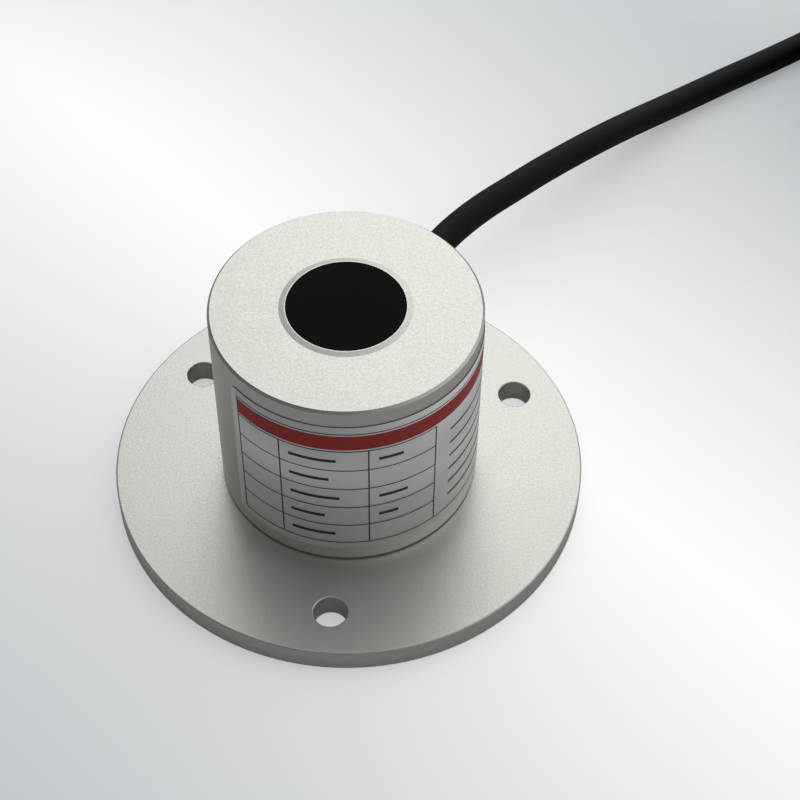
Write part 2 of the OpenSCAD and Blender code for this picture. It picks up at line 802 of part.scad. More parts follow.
module gland_body() {
    color("silver") at_gland() difference() {
        union() {
            rotate_extrude() polygon(concat(
                [[0, bore_r]],
                thread_outline(gland_thread_d / 2, thread_depth, bore_r, spot_x, stub_teeth),
                [[gland_thread_d / 2, spot_x], [gland_thread_d / 2, hex_x], [0, hex_x]]
            ));
            translate([0, 0, hex_x]) hexagon(gland_af, gland_hex_l, small_bevel);
            rotate_extrude() polygon(concat(
                [[0, neck_x - small_bevel], [gland_neck_d / 2 - thread_depth, neck_x - small_bevel]],
                thread_outline(gland_neck_d / 2, thread_depth, neck_x, neck_x + gland_neck_l, neck_teeth),
                [[gland_neck_d / 2 - thread_depth, neck_x + gland_neck_l], [0, neck_x + gland_neck_l]]
            ));
        }
        translate([0, 0, bore_r - over]) cylinder(h = gland_exit_x, r = cable_hole_r);
        translate([0, 0, bush_x]) cylinder(h = gland_cap_l, r = bush_d / 2 + optic_clearance);
    }
}

module gland_bush() {
    color([0.12, 0.12, 0.12]) at_gland() difference() {
        translate([0, 0, bush_x]) bevelled_disc(bush_d / 2, bush_l, small_bevel);
        translate([0, 0, bush_x - over])
            cylinder(h = bush_l + 2 * over, r = cable_d / 2 + optic_clearance);
    }
}

dome_steps = 6;

module gland_cap() {
    dome_x = cap_x + gland_cap_hex_l;
    dome_l = gland_cap_l - gland_cap_hex_l;
    base_r = gland_af / 2 - optic_clearance;
    color("silver") at_gland() difference() {
        union() {
            translate([0, 0, cap_x]) hexagon(gland_af, gland_cap_hex_l, small_bevel);
            rotate_extrude() polygon(concat(
                [[0, cap_x], [gland_neck_d / 2, cap_x], [base_r, cap_x + gland_cap_hex_l / 2]],
                [for (i = [0:dome_steps])
                    let (a = 90 * i / dome_steps)
                    [gland_mouth_d / 2 + (base_r - gland_mouth_d / 2) * cos(a), dome_x + dome_l * sin(a)]],
                [[0, gland_exit_x]]
            ));
        }
        translate([0, 0, cap_x - over])
            cylinder(h = gland_neck_l + over, r = gland_neck_d / 2 + thread_gap);
        translate([0, 0, cap_x - over]) cylinder(h = gland_cap_l + 2 * over, r = cable_hole_r);
    }
}

module label() {
    label_angle = label_l / (housing_r + label_t / 2) * 180 / PI;
    label_h = housing_h - label_drop - label_foot;
    color("lightgray") rotate([0, 0, label_turn])
        rotate_extrude(angle = label_angle)
            translate([housing_r, housing_z + label_foot]) square([label_t, label_h]);
}

cable_sides = 10;

module cable_lead() {
    color([0.1, 0.1, 0.11]) tube(lead_route, cable_d / 2, cable_sides);
}

module cable_coil() {
    color([0.1, 0.1, 0.11]) tube(coil_line, cable_d / 2, coil_sides);
}

// Band round the whole bundle, built on XY with the bundle's radius along X and its height along Y
tie_turns = [coil_turn - 90, coil_turn + 90];
tie_gap = 0.1;
bundle_in = coil_inner_r - cable_d / 2;
bundle_w = coil_r - coil_inner_r + cable_d;
bundle_h = (coil_layers - 1) * coil_pitch + cable_d;

module rounded(x, y, w, h, r) {
    translate([x + r, y]) square([w - 2 * r, h]);
    translate([x, y + r]) square([w, h - 2 * r]);
    for (px = [x + r, x + w - r], py = [y + r, y + h - r]) translate([px, py]) circle(r = r);
}

head_l = 5;
head_t = 3;

module coil_ties() {
    inner = tie_gap;
    outer = tie_gap + tie_t;
    color("black") for (a = tie_turns)
        translate([coil_centre[0], coil_centre[1], 0]) rotate([90, 0, a]) translate([0, 0, -tie_w / 2]) {
            linear_extrude(height = tie_w) difference() {
                rounded(
                    bundle_in - outer, coil_lift - outer, bundle_w + 2 * outer, bundle_h + 2 * outer,
                    cable_d / 2 + outer
                );
                rounded(
                    bundle_in - inner, coil_lift - inner, bundle_w + 2 * inner, bundle_h + 2 * inner,
                    cable_d / 2 + inner
                );
            }
            translate([bundle_in + bundle_w + tie_gap + tie_t / 2, coil_lift + bundle_h / 2 - head_l / 2, 0])
                cube([head_t, head_l, tie_w]);
        }
}

module cable_tail() {
    color([0.1, 0.1, 0.11]) tube(tail_route, cable_d / 2, cable_sides);
}

// The tail's last step runs along -Y, and the sleeve covers its end
tail_end = tail_route[len(tail_route) - 1];
sleeve_r = cable_d / 2 + sleeve_wall;
sleeve_gap = 0.05;
sleeve_over_l = tail_route[len(tail_route) - 2][1] - tail_end[1];

module tail_sleeve() {
    color([0.08, 0.08, 0.08]) translate([tail_end[0], tail_end[1] + sleeve_over_l, 0])
        intersection() {
            translate([0, 0, tail_end[2]]) rotate([90, 0, 0]) difference() {
                cylinder(h = sleeve_l, r = sleeve_r);
                translate([0, 0, -over]) cylinder(h = sleeve_over_l + over, r = cable_d / 2 + sleeve_gap);
                for (i = [0:3]) translate([sleeve_wire_x(i), sleeve_wire_z(i), sleeve_over_l - over])
                    cylinder(h = sleeve_l + over, r = wire_d / 2 + sleeve_gap);
            }
            translate([-sleeve_l, -2 * sleeve_l, 0]) cube([2 * sleeve_l, 3 * sleeve_l, 2 * sleeve_l]);
        }
}

// Place of wire i in the sleeve, from the cable's axis
function sleeve_wire_x(i) = (i % 2 == 0 ? -1 : 1) * wire_offset;
function sleeve_wire_z(i) = (i < 2 ? -1 : 1) * wire_offset;

wire_end_y = tail_end[1] + sleeve_over_l - sleeve_l - free_wire_l;

// Place of free wire i's end: the wires fan out flat over the surface
wire_rows = [1, 2, 0, 3];
function wire_end_x(i) = tail_end[0] + (wire_rows[i] - 1.5) * free_wire_pitch;

module tail_wire(i) {
    start = tail_end + [sleeve_wire_x(i), 0, sleeve_wire_z(i)];
    mouth = start + [0, sleeve_over_l - sleeve_l, 0];
    finish = [wire_end_x(i), wire_end_y, ferrule_collar_d / 2];
    onwards = [0, -free_wire_l / 2, 0];
    tube(concat([start], bend_line(mouth, onwards, finish, onwards, wire_steps)), wire_d / 2, wire_sides);
}

module tail_wire_red() { color("firebrick") tail_wire(0); }
module tail_wire_black() { color([0.1, 0.1, 0.1]) tail_wire(1); }
module tail_wire_yellow() { color("gold") tail_wire(2); }
module tail_wire_green() { color("seagreen") tail_wire(3); }

module at_ferrules() {
    for (i = [0:3]) translate([wire_end_x(i), wire_end_y, ferrule_collar_d / 2]) rotate([90, 0, 0]) children();
}

module ferrule_collars() {
    color("white") at_ferrules() bevelled_disc(ferrule_collar_d / 2, ferrule_collar_l, small_bevel / 4);
}

module ferrule_pins() {
    color("silver") at_ferrules() translate([0, 0, ferrule_collar_l])
        bevelled_disc(ferrule_pin_d / 2, ferrule_pin_l, small_bevel / 4);
}

mounting_flange();
base_gasket();
housing_screws();
housing();
filter_glass();
glass_seal();
diffuser();
diffuser_retainer();
photodiode_can();
photodiode_window();
photodiode_chip();
photodiode_header();
photodiode_pins();
photodiode_spacer();
circuit_board();
board_pillars();
board_screws();
amplifier_chip();
transmitter_chip();
voltage_regulator();
chip_leads();
surge_diode();
capacitor_cans();
capacitor_bases();
ceramic_capacitors();
resistors();
chip_terminals();
solder_joints();
wire_red();
wire_black();
wire_yellow();
wire_green();
cable_entry();
gland_washer();
gland_body();
gland_bush();
gland_cap();
label();
cable_lead();
cable_coil();
coil_ties();
cable_tail();
tail_sleeve();
tail_wire_red();
tail_wire_black();
tail_wire_yellow();
tail_wire_green();
ferrule_collars();
ferrule_pins();
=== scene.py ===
# Looks of an ultraviolet radiation sensor: anodised housing on a round flange, black filter glass,
# metallised label, and a black lead wound into a coil. Lengths are in millimetres until they reach a mesh.
import json
import math

import bmesh
import bpy
from mathutils import Matrix, Vector


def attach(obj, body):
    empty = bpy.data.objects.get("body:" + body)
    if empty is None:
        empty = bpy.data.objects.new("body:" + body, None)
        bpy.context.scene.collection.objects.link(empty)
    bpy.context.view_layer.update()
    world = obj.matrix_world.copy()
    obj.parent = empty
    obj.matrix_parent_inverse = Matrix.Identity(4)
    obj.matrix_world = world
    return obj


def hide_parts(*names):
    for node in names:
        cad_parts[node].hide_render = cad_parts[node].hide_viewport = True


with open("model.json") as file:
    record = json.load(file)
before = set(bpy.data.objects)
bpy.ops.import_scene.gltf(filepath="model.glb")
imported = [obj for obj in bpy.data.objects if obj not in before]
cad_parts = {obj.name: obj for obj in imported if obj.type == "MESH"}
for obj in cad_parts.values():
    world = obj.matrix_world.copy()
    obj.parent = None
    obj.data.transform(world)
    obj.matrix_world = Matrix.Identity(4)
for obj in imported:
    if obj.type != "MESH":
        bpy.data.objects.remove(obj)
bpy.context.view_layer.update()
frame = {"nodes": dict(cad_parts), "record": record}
nodes = frame["nodes"]
mm = 0.001
print("frame loaded:", len(nodes), "nodes")

# Camera, matched to the photograph: angles in degrees, lens and place in millimetres, clip in metres
camera = {
    "azimuth": 3.79, "elevation": 50.0, "roll": 0.768,
    "lens": 78.87, "sensor": 36.0, "place": (20.96, -186.07, 242.21), "clip": (0.01, 50),
}


def placeObject(name, data):
    obj = bpy.data.objects.new(name, data)
    bpy.context.scene.collection.objects.link(obj)
    return obj


def makeCamera(c):
    a, e, roll = (math.radians(c[key]) for key in ("azimuth", "elevation", "roll"))
    back = Vector((math.sin(a) * math.cos(e), -math.cos(a) * math.cos(e), math.sin(e)))
    right = Vector((math.cos(a), math.sin(a), 0))
    up = back.cross(right)
    turnedRight = math.cos(roll) * right + math.sin(roll) * up
    turnedUp = math.cos(roll) * up - math.sin(roll) * right
    data = bpy.data.cameras.new("camera")
    data.lens, data.sensor_width = c["lens"], c["sensor"]
    data.clip_start, data.clip_end = c["clip"]
    obj = placeObject("camera", data)
    turn = Matrix((turnedRight, turnedUp, back)).transposed().to_4x4()
    obj.matrix_world = Matrix.Translation(Vector(c["place"]) * mm) @ turn
    bpy.context.scene.camera = obj


makeCamera(camera)
print("camera placed")


def linear(code):  # sRGB code to linear colour
    parts = [int(code[i:i + 2], 16) / 255 for i in (1, 3, 5)]
    return tuple(c / 12.92 if c <= 0.04045 else ((c + 0.055) / 1.055) ** 2.4 for c in parts) + (1.0,)


def addNode(tree, kind, inputs=None, **settings):
    node = tree.nodes.new(kind)
    for key, value in settings.items():
        setattr(node, key, value)
    for socket, value in (inputs or {}).items():
        if isinstance(value, bpy.types.NodeSocket):
            tree.links.new(value, node.inputs[socket])
        else:
            node.inputs[socket].default_value = value
    return node


def perMetre(sizeMm):  # scale of a pattern whose marks are this far apart
    return 1 / (sizeMm * mm)


# What every finish shares: the noise of its mottle and its grain, the part of the grain's values that is
# spread over the range of roughness, the refraction, and the bump's strength unless the finish has its own
pattern = {
    "mottle": {"Detail": 3.0, "Roughness": 0.55}, "grain": {"Detail": 2.0, "Roughness": 0.6},
    "spread": {"From Min": 0.3, "From Max": 0.7}, "refraction": 1.5, "bump": 0.3,
}


def makeSurface(name, look):
    # One finish: two close colours mottled together, a fine grain in the bump and a range of roughness
    material = bpy.data.materials.new(name)
    material.use_nodes = True
    tree = material.node_tree
    tree.nodes.clear()
    place = addNode(tree, "ShaderNodeTexCoord").outputs["Object"]
    if "stretch" in look:  # grain drawn out along one axis
        drawn = addNode(tree, "ShaderNodeMapping", {"Vector": place, "Scale": look["stretch"]})
        place = drawn.outputs["Vector"]
    mottle = addNode(tree, "ShaderNodeTexNoise", {
        "Vector": place, "Scale": perMetre(look["mottle"]), **pattern["mottle"],
    })
    grain = addNode(tree, "ShaderNodeTexNoise", {
        "Vector": place, "Scale": perMetre(look["grain"]), **pattern["grain"],
    })
    blend = addNode(tree, "ShaderNodeMix", {
        "Factor": look.get("speckle", 0.0), "A": mottle.outputs["Fac"], "B": grain.outputs["Fac"],
    })
    colour = addNode(tree, "ShaderNodeMix", {
        "Factor": blend.outputs["Result"], "A": linear(look["colour"]), "B": linear(look["second"]),
    }, data_type="RGBA")
    low, high = look["roughness"]
    rough = addNode(tree, "ShaderNodeMapRange", {
        "Value": grain.outputs["Fac"], "To Min": low, "To Max": high, **pattern["spread"],
    })
    bump = addNode(tree, "ShaderNodeBump", {
        "Height": grain.outputs["Fac"], "Strength": look.get("bump", pattern["bump"]),
        "Distance": look["depth"] * mm,
    })
    shader = addNode(tree, "ShaderNodeBsdfPrincipled", {
        "Base Color": colour.outputs["Result"], "Roughness": rough.outputs["Result"],
        "Normal": bump.outputs["Normal"], "Metallic": look.get("metallic", 0.0), "IOR": pattern["refraction"],
        "Specular IOR Level": look.get("specular", 0.5), "Coat Weight": look.get("coat", 0.0),
        "Transmission Weight": look.get("clear", 0.0),
    })
    addNode(tree, "ShaderNodeOutputMaterial", {"Surface": shader.outputs["BSDF"]})
    return material


# Finishes. Mottle, grain and the grain's depth are in millimetres. Speckle is the grain's share in the
# blend of the two colours.
looks = {
    # Bead blasted, clear anodised: an even pearly grey that blurs what it reflects
    # The grit's pits are near 0.1 mm and are drawn at 0.4 mm so that they show
    "anodisedAluminium": {
        "colour": "#DEDED8", "second": "#CFCFC8", "mottle": 7.0, "grain": 0.4, "depth": 0.075,
        "speckle": 0.75, "roughness": (0.34, 0.42), "metallic": 1.0,
    },
    # Polished filter glass that passes ultraviolet and looks black, with a coating that stops reflections
    "filterGlass": {
        "colour": "#080A09", "second": "#070808", "mottle": 12.0, "grain": 3.0, "depth": 0.001,
        "roughness": (0.05, 0.08), "specular": 0.03, "bump": 0.05,
    },
    # Clear glass disc of the photodiode
    "windowGlass": {
        "colour": "#EAF0F2", "second": "#E2EAF0", "mottle": 5.0, "grain": 2.0, "depth": 0.001,
        "roughness": (0.02, 0.05), "clear": 0.9, "bump": 0.05,
    },
    # Moulded rubber: flat black with a dusty bloom
    "sealRubber": {
        "colour": "#222222", "second": "#2A2A29", "mottle": 2.0, "grain": 0.3, "depth": 0.02,
        "roughness": (0.65, 0.8),
    },
    # Gasket cut from grey sheet: a soft line in the joint
    "gasketRubber": {
        "colour": "#9C9C99", "second": "#939390", "mottle": 2.0, "grain": 0.3, "depth": 0.02,
        "roughness": (0.65, 0.8),
    },
    # Sintered fluoropolymer diffuser: chalky white
    "diffuserPlastic": {
        "colour": "#F0F0EC", "second": "#E9E9E5", "mottle": 3.0, "grain": 0.3, "depth": 0.01,
        "roughness": (0.6, 0.75),
    },
    # Stainless screws: turned and lightly passivated
    "stainlessSteel": {
        "colour": "#C4C2BD", "second": "#B6B4AE", "mottle": 1.5, "grain": 0.2, "depth": 0.006,
        "roughness": (0.22, 0.34), "metallic": 1.0,
    },
    "blackAnodised": {
        "colour": "#1B1B1D", "second": "#232326", "mottle": 2.0, "grain": 0.3, "depth": 0.008,
        "roughness": (0.4, 0.5), "metallic": 0.6,
    },
    # Satin nickel plate over brass: a warm grey, smoother than the housing
    "nickelPlate": {
        "colour": "#CDC8BE", "second": "#C2BDB2", "mottle": 3.0, "grain": 0.5, "depth": 0.006,
        "roughness": (0.2, 0.3), "metallic": 1.0,
    },
    "goldPlate": {
        "colour": "#E3BE6C", "second": "#D9B25E", "mottle": 1.5, "grain": 0.2, "depth": 0.004,
        "roughness": (0.16, 0.26), "metallic": 1.0,
    },
    "polishedChip": {
        "colour": "#2B3350", "second": "#333A56", "mottle": 0.6, "grain": 0.1, "depth": 0.001,
        "roughness": (0.08, 0.16), "coat": 0.5,
    },
    "spacerPlastic": {
        "colour": "#E6E1D2", "second": "#DDD7C6", "mottle": 2.0, "grain": 0.3, "depth": 0.01,
        "roughness": (0.5, 0.6),
    },
    # Green solder mask over woven glass laminate, whose weave shows faintly
    "boardLaminate": {
        "colour": "#1E5C38", "second": "#246A40", "mottle": 1.6, "grain": 0.5, "depth": 0.02,
        "roughness": (0.25, 0.35), "coat": 0.4,
    },
    "packageEpoxy": {
        "colour": "#1D1D1E", "second": "#262627", "mottle": 0.8, "grain": 0.1, "depth": 0.01,
        "roughness": (0.5, 0.65),
    },
    "tinPlate": {
        "colour": "#D2D2D0", "second": "#C6C6C4", "mottle": 0.8, "grain": 0.15, "depth": 0.005,
        "roughness": (0.25, 0.4), "metallic": 1.0,
    },
    "drawnCan": {
        "colour": "#D8D8D8", "second": "#CECECF", "mottle": 2.0, "grain": 0.4, "depth": 0.004,
        "roughness": (0.18, 0.28), "metallic": 1.0, "stretch": (1.0, 1.0, 0.15),
    },
    "firedCeramic": {
        "colour": "#B48E62", "second": "#A98459", "mottle": 0.6, "grain": 0.1, "depth": 0.008,
        "roughness": (0.45, 0.6),
    },
    # Extruded vinyl: soft sheen, with faint waviness from the die
    "redVinyl": {
        "colour": "#B3201C", "second": "#A81C19", "mottle": 3.0, "grain": 0.6, "depth": 0.01,
        "roughness": (0.3, 0.4),
    },
    "blackVinyl": {
        "colour": "#1B1B1C", "second": "#212122", "mottle": 3.0, "grain": 0.6, "depth": 0.01,
        "roughness": (0.3, 0.4),
    },
    "yellowVinyl": {
        "colour": "#E0B416", "second": "#D8AB12", "mottle": 3.0, "grain": 0.6, "depth": 0.01,
        "roughness": (0.3, 0.4),
    },
    "greenVinyl": {
        "colour": "#1F7A45", "second": "#1A703E", "mottle": 3.0, "grain": 0.6, "depth": 0.01,
        "roughness": (0.3, 0.4),
    },
    # Black polyurethane jacket: matt, with a broad soft sheen
    "cableJacket": {
        "colour": "#050505", "second": "#090909", "mottle": 5.0, "grain": 0.5, "depth": 0.02,
        "roughness": (0.5, 0.6), "specular": 0.2,
    },
    # Metallised film: cooler and flatter than the metal behind it
    "labelFoil": {
        "colour": "#F6F6F6", "second": "#F0F0F1", "mottle": 9.0, "grain": 0.3, "depth": 0.003,
        "roughness": (0.4, 0.46), "metallic": 0.45,
    },
    "darkInk": {
        "colour": "#2B2B2C", "second": "#333334", "mottle": 0.8, "grain": 0.15, "depth": 0.002,
        "roughness": (0.45, 0.6),
    },
    # Cut edge of the film, painted dark grey as painted shade: the thin shadow line along the label's edge
    "labelEdgePaintedShade": {
        "colour": "#5A5A5A", "second": "#505050", "mottle": 0.8, "grain": 0.1, "depth": 0.002,
        "roughness": (0.6, 0.75),
    },
    "redInk": {
        "colour": "#B32A2A", "second": "#AA2626", "mottle": 0.8, "grain": 0.15, "depth": 0.002,
        "roughness": (0.45, 0.6),
    },
    "tieNylon": {
        "colour": "#1A1A1A", "second": "#212121", "mottle": 2.0, "grain": 0.3, "depth": 0.01,
        "roughness": (0.4, 0.5),
    },
    "shrinkTube": {
        "colour": "#161616", "second": "#1C1C1C", "mottle": 2.0, "grain": 0.5, "depth": 0.02,
        "roughness": (0.5, 0.6),
    },
    "whiteCollar": {
        "colour": "#EDEDEA", "second": "#E5E5E2", "mottle": 1.5, "grain": 0.3, "depth": 0.006,
        "roughness": (0.3, 0.4),
    },
}
surfaces = {name: makeSurface(name, look) for name, look in looks.items()}

# Finish of each of the record's material slots
slotFinishes = {
    "anodised_aluminium": "anodisedAluminium", "filter_glass": "filterGlass", "window_glass": "windowGlass",
    "seal_rubber": "sealRubber", "gasket_rubber": "gasketRubber", "diffuser_plastic": "diffuserPlastic",
    "stainless_steel": "stainlessSteel", "retainer_aluminium": "blackAnodised",
    "nickel_plate": "nickelPlate", "gold_plate": "goldPlate",
    "silicon_carbide": "polishedChip", "spacer_plastic": "spacerPlastic", "board_laminate": "boardLaminate",
    "package_epoxy": "packageEpoxy", "tinned_metal": "tinPlate", "capacitor_aluminium": "drawnCan",
    "ceramic": "firedCeramic", "insulation_red": "redVinyl", "insulation_black": "blackVinyl",
    "insulation_yellow": "yellowVinyl", "insulation_green": "greenVinyl", "cable_jacket": "cableJacket",
    "label_foil": "labelFoil", "tie_nylon": "tieNylon", "shrink_sleeve": "shrinkTube",
    "ferrule_collar": "whiteCollar",
}
slotOf = {part["node"]: part["material_slot"] for part in frame["record"]["subparts"]}
for name, obj in nodes.items():
    obj.data.materials.clear()
    obj.data.materials.append(surfaces[slotFinishes[slotOf[name]]])
print("finishes made:", len(surfaces))


def socketId(tree, name):
    return next(item.identifier for item in tree.interface.items_tree if item.name == name)


def newTree(name, inputs):
    tree = bpy.data.node_groups.new(name, "GeometryNodeTree")
    tree.interface.new_socket("Geometry", in_out="INPUT", socket_type="NodeSocketGeometry")
    for label, kind in inputs.items():
        tree.interface.new_socket(label, in_out="INPUT", socket_type="NodeSocket" + kind)
    tree.interface.new_socket("Geometry", in_out="OUTPUT", socket_type="NodeSocketGeometry")
    return tree, addNode(tree, "NodeGroupInput").outputs


def closeTree(tree, geometry, finish):
    smooth = addNode(tree, "GeometryNodeSetShadeSmooth", {"Geometry": geometry})
    real = addNode(tree, "GeometryNodeRealizeInstances", {"Geometry": smooth.outputs["Geometry"]})
    coloured = addNode(tree, "GeometryNodeSetMaterial", {
        "Geometry": real.outputs["Geometry"], "Material": finish,
    })
    addNode(tree, "NodeGroupOutput", {"Geometry": coloured.outputs["Geometry"]})
    return tree


def growMesh(name, data, tree, values):
    # Runs a tree on a starting object and keeps its result as a plain mesh
    start = placeObject(name + "Start", data)
    modifier = start.modifiers.new(tree.name, "NODES")
    modifier.node_group = tree
    for label, value in values.items():
        modifier[socketId(tree, label)] = value
    bpy.context.view_layer.update()
    grown = bpy.data.meshes.new_from_object(start.evaluated_get(bpy.context.evaluated_depsgraph_get()))
    grown.name = name
    bpy.data.objects.remove(start)
    return placeObject(name, grown)


def makeTubeTree():
    tree, given = newTree("tubeAlongPath", {"Diameter": "Float", "Sides": "Int", "Finish": "Material"})
    half = addNode(tree, "ShaderNodeMath", {0: given["Diameter"], 1: 0.5}, operation="MULTIPLY")
    profile = addNode(tree, "GeometryNodeCurvePrimitiveCircle", {
        "Resolution": given["Sides"], "Radius": half.outputs["Value"],
    })
    tube = addNode(tree, "GeometryNodeCurveToMesh", {
        "Curve": given["Geometry"], "Profile Curve": profile.outputs["Curve"], "Fill Caps": True,
    })
    return closeTree(tree, tube.outputs["Mesh"], given["Finish"])


tubeTree = makeTubeTree()


def smoothPath(points, step):
    # Even points along a curve through the given ones, in metres
    knots = [Vector(p) for p in points]
    knots = [2 * knots[0] - knots[1]] + knots + [2 * knots[-1] - knots[-2]]
    line = [knots[1]]
    for a, b, c, d in zip(knots, knots[1:], knots[2:], knots[3:]):
        gap = (c - b).length
        early, late = (b - a).length, (d - c).length
        leave = ((c - b) / gap * early + (b - a) / early * gap) / (early + gap) * gap
        arrive = ((d - c) / late * gap + (c - b) / gap * late) / (gap + late) * gap
        count = max(2, round(gap / step))
        for i in range(1, count + 1):
            t = i / count
            line.append((2 * t**3 - 3 * t**2 + 1) * b + (t**3 - 2 * t**2 + t) * leave
                        + (3 * t**2 - 2 * t**3) * c + (t**3 - t**2) * arrive)
    return [p * mm for p in line]


def pathLength(line):
    return sum((b - a).length for a, b in zip(line, line[1:]))


def polyCurve(name, line, closed=False):
    curve = bpy.data.curves.new(name, "CURVE")
    curve.dimensions = "3D"
    spline = curve.splines.new("POLY")
    spline.points.add(len(line) - 1)
    for point, at in zip(spline.points, line):
        point.co = (*at, 1)
    spline.use_cyclic_u = closed
    return curve


def makeTube(name, line, diameter, sides, finish):
    return growMesh(name, polyCurve(name, line), tubeTree, {
        "Diameter": diameter * mm, "Sides": sides, "Finish": surfaces[finish],
    })


# Cable: the routes and the winding are those of the construction. The coil starts at its turn angle.
cable = {
    "diameter": 5.4, "sides": 24, "step": 1.6,
    "lead": [
        (9.3, 34.8, 12), (10.7, 40, 12), (12, 43.7, 12), (13.6, 46.8, 11.9), (16.1, 50.5, 11.9),
        (20.4, 55.9, 11.8), (25.4, 61.4, 11.5), (30.8, 67.4, 11), (36.5, 73.8, 10), (42.5, 80.6, 8.6),
        (48.8, 88, 6.5), (55.2, 95.3, 4.3), (61.8, 101.8, 3), (68.8, 107.6, 2.7), (77.2, 114, 2.7),
        (86.2, 121, 2.8), (94, 127, 3.2), (101.3, 132.7, 3.6), (105.6, 136, 3.6),
    ],
    "tail": [
        (149.9, 79.3, 21.3), (145.6, 76, 21.3), (140.6, 71.8, 20.8), (136, 67.2, 18.8), (131.4, 61.4, 14.8),
        (127.4, 54.6, 9.9), (124, 47, 5.8), (121.4, 39, 3.4), (119.8, 31, 2.7), (119, 23.4, 2.7),
        (119, 18, 2.7),
    ],
    "coil": {
        "centre": (132, 111), "turn": 128, "radius": 36, "pitch": 5.9, "height": 3.6,
        "layers": 4, "layerTurns": 2.375, "pointsPerTurn": 36,
    },
}


def smoothStep(t):
    s = min(max(t, 0), 1)
    return s * s * (3 - 2 * s)


def coilPoint(c, t):
    # Spirals in and out again, and climbs a layer in the half turn round each reversal
    layer, part = divmod(t / c["layerTurns"], 1)
    inward = part if layer % 2 == 0 else 1 - part
    r = c["radius"] - c["layerTurns"] * c["pitch"] * inward
    climb = sum(smoothStep(2 * (t - i * c["layerTurns"]) + 0.5) for i in range(1, c["layers"]))
    a = math.radians(c["turn"] - 360 * t)
    return (
        c["centre"][0] + r * math.cos(a), c["centre"][1] + r * math.sin(a), c["height"] + c["pitch"] * climb
    )


def coilPoints(c):
    turns = c["layers"] * c["layerTurns"]
    count = round(turns * c["pointsPerTurn"])
    return [coilPoint(c, turns * i / count) for i in range(count + 1)]


def makeCable(c):
    line = smoothPath(c["lead"] + coilPoints(c["coil"]) + c["tail"], c["step"])
    obj = makeTube("cable", line, c["diameter"], c["sides"], "cableJacket")
    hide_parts("cable_lead", "cable_coil", "cable_tail")
    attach(obj, "root")
    return obj, line


cableTube, cableLine = makeCable(cable)
print("cable:", round(pathLength(cableLine), 4), "m")

# Insulated wires. Inner ones run from the cable's cut end up to the board, outer ones to their ferrules.
# Offset is from the cable's middle, and the sides say which way it goes, across and upwards.
wires = {
    "diameter": 1.3, "sides": 16, "steps": 24, "straight": 0.2, "offset": 0.78,
    "colours": ("red", "black", "yellow", "green"),
    "glandSides": ((-1, -1), (-1, 1), (1, 1), (1, -1)), "sleeveSides": ((-1, -1), (1, -1), (-1, 1), (1, 1)),
    "boardTurn": -15, "entry": 13.65, "glandHeight": 12, "padPitch": 2.54, "padY": 12.19, "padHeight": 26.9,
    "reach": (0.8, 0.45, 0.45, 0.8), "rise": 7.7,
    "tailEnd": (119, 18, 2.7), "mouthY": 11.4, "endY": -14.6, "endHeight": 1.1, "endPitch": 6,
    "rows": (1, 2, 0, 3), "onwards": 13,
}


def bendLine(p, d, q, e, w):
    # Curve that leaves p along d and arrives at q along e, with a short straight at each end
    p, d, q, e = (Vector(v) for v in (p, d, q, e))
    first, last = p + w["straight"] * d, q - w["straight"] * e
    line = [p]
    for i in range(w["steps"] + 1):
        t = i / w["steps"]
        line.append((1 - t)**3 * first + 3 * (1 - t)**2 * t * (first + d)
                    + 3 * (1 - t) * t**2 * (last - e) + t**3 * last)
    return line + [q]


def makeWires(w):
    turn = Matrix.Rotation(math.radians(w["boardTurn"]), 3, "Z")
    middle = (len(w["colours"]) - 1) / 2
    endX, endY, endZ = w["tailEnd"]
    freeWires = []
    for i, colour in enumerate(w["colours"]):
        across, above = (side * w["offset"] for side in w["glandSides"][i])
        inner = bendLine(
            (across, w["entry"], w["glandHeight"] + above), (0, -w["reach"][i] * w["entry"], 0),
            ((i - middle) * w["padPitch"], w["padY"], w["padHeight"]), (0, 0, w["rise"]), w,
        )
        sleeveX, sleeveZ = (side * w["offset"] for side in w["sleeveSides"][i])
        start = (endX + sleeveX, endY, endZ + sleeveZ)
        mouth = (endX + sleeveX, w["mouthY"], endZ + sleeveZ)
        finish = (endX + (w["rows"][i] - middle) * w["endPitch"], w["endY"], w["endHeight"])
        outer = [Vector(start)] + bendLine(mouth, (0, -w["onwards"], 0), finish, (0, -w["onwards"], 0), w)
        for name, line in (("wire_", [turn @ p for p in inner]), ("tail_wire_", outer)):
            obj = makeTube(
                name + colour + "_smooth", [p * mm for p in line], w["diameter"], w["sides"], colour + "Vinyl"
            )
            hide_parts(name + colour)
            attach(obj, "root")
            if name == "tail_wire_":
                freeWires.append(obj)
    return freeWires


tailWires = makeWires(wires)
print("wires drawn")

# Coil ties: a band pulled tight round the turns, with a ratchet head outside and its cut end over it
ties = {
    "angles": (38, 218), "wide": 4, "thick": 0.8, "gap": 0.05, "arcPoints": 32, "round": 0.2,
    "roundSteps": 3, "middle": 12.45, "head": (3.0, 5.0, 4.6), "headRound": 0.4,
    "end": (0.9, 3.6, 2.6), "endRound": 0.15,
}


def coilSection(line, angle, c):
    # Middles of the turns where a half plane through the coil's axis cuts them, as radius and height
    turn = Matrix.Rotation(-math.radians(angle), 3, "Z")
    local = [turn @ (p / mm - Vector((*c["coil"]["centre"], 0))) for p in line]
    cuts = [
        a.lerp(b, a.y / (a.y - b.y)) for a, b in zip(local, local[1:])
        if (a.y < 0) != (b.y < 0) and a.x > 0 and b.x > 0
    ]
    return [(p.x, p.z) for p in cuts if p.x < c["coil"]["radius"] + c["diameter"]]


